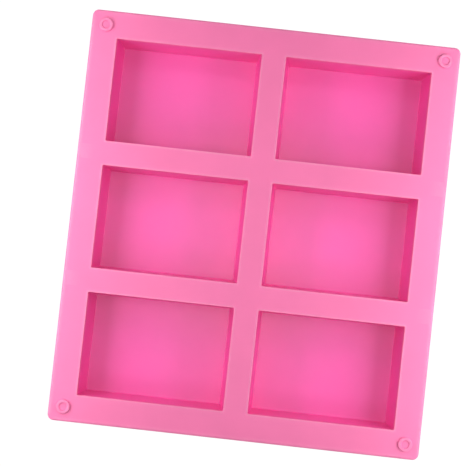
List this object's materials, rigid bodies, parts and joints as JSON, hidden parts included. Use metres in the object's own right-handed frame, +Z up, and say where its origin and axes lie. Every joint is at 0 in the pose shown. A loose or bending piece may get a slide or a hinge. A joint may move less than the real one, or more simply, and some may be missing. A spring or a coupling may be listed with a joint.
{
  "type": "silicone soap bar mould",
  "caption": "Flexible rectangular silicone mould: a flat flange with two columns and three rows of open rectangular bar cavities, and a small raised ring at each corner.",
  "frame": {"origin": "centre of the mould's footprint, on the surface that it stands on", "axes": "+Z up out of the cavity mouths, +Y towards the back row along the mould's longer side, +X to the right along the long side of each cavity"},
  "size_m": [0.2024, 0.2256, 0.029],
  "materials": {
    "silicone": "satin"
  },
  "bodies": {
    "middle_row": {"flange_middle": "silicone", "flex_web_back": "silicone", "flex_web_front": "silicone", "cup_middle_left": "silicone", "cup_middle_right": "silicone"},
    "back_row": {"flange_back": "silicone", "cup_back_left": "silicone", "cup_back_right": "silicone", "corner_ring_back_left": "silicone", "corner_ring_back_right": "silicone"},
    "front_row": {"flange_front": "silicone", "cup_front_left": "silicone", "cup_front_right": "silicone", "corner_ring_front_left": "silicone", "corner_ring_front_right": "silicone"},
    "push_back_left": {"floor_back_left": "silicone"},
    "push_back_right": {"floor_back_right": "silicone"},
    "push_middle_left": {"floor_middle_left": "silicone"},
    "push_middle_right": {"floor_middle_right": "silicone"},
    "push_front_left": {"floor_front_left": "silicone"},
    "push_front_right": {"floor_front_right": "silicone"}
  },
  "joints": [
    {"name": "back_row_fold", "type": "hinge", "parent": "middle_row", "child": "back_row", "pos_m": [0, 0.0348, 0.026], "axis": [1, 0, 0], "range_deg": [-20, 90], "stiffness_Nm_per_rad": 0.11},
    {"name": "front_row_fold", "type": "hinge", "parent": "middle_row", "child": "front_row", "pos_m": [0, -0.0348, 0.026], "axis": [-1, 0, 0], "range_deg": [-20, 90], "stiffness_Nm_per_rad": 0.11},
    {"name": "floor_back_left_push", "type": "slide", "parent": "back_row", "child": "push_back_left", "axis": [0, 0, 1], "range_m": [0, 0.01], "stiffness_N_per_m": 300},
    {"name": "floor_back_right_push", "type": "slide", "parent": "back_row", "child": "push_back_right", "axis": [0, 0, 1], "range_m": [0, 0.01], "stiffness_N_per_m": 300},
    {"name": "floor_middle_left_push", "type": "slide", "parent": "middle_row", "child": "push_middle_left", "axis": [0, 0, 1], "range_m": [0, 0.01], "stiffness_N_per_m": 300},
    {"name": "floor_middle_right_push", "type": "slide", "parent": "middle_row", "child": "push_middle_right", "axis": [0, 0, 1], "range_m": [0, 0.01], "stiffness_N_per_m": 300},
    {"name": "floor_front_left_push", "type": "slide", "parent": "front_row", "child": "push_front_left", "axis": [0, 0, 1], "range_m": [0, 0.01], "stiffness_N_per_m": 300},
    {"name": "floor_front_right_push", "type": "slide", "parent": "front_row", "child": "push_front_right", "axis": [0, 0, 1], "range_m": [0, 0.01], "stiffness_N_per_m": 300}
  ]
}
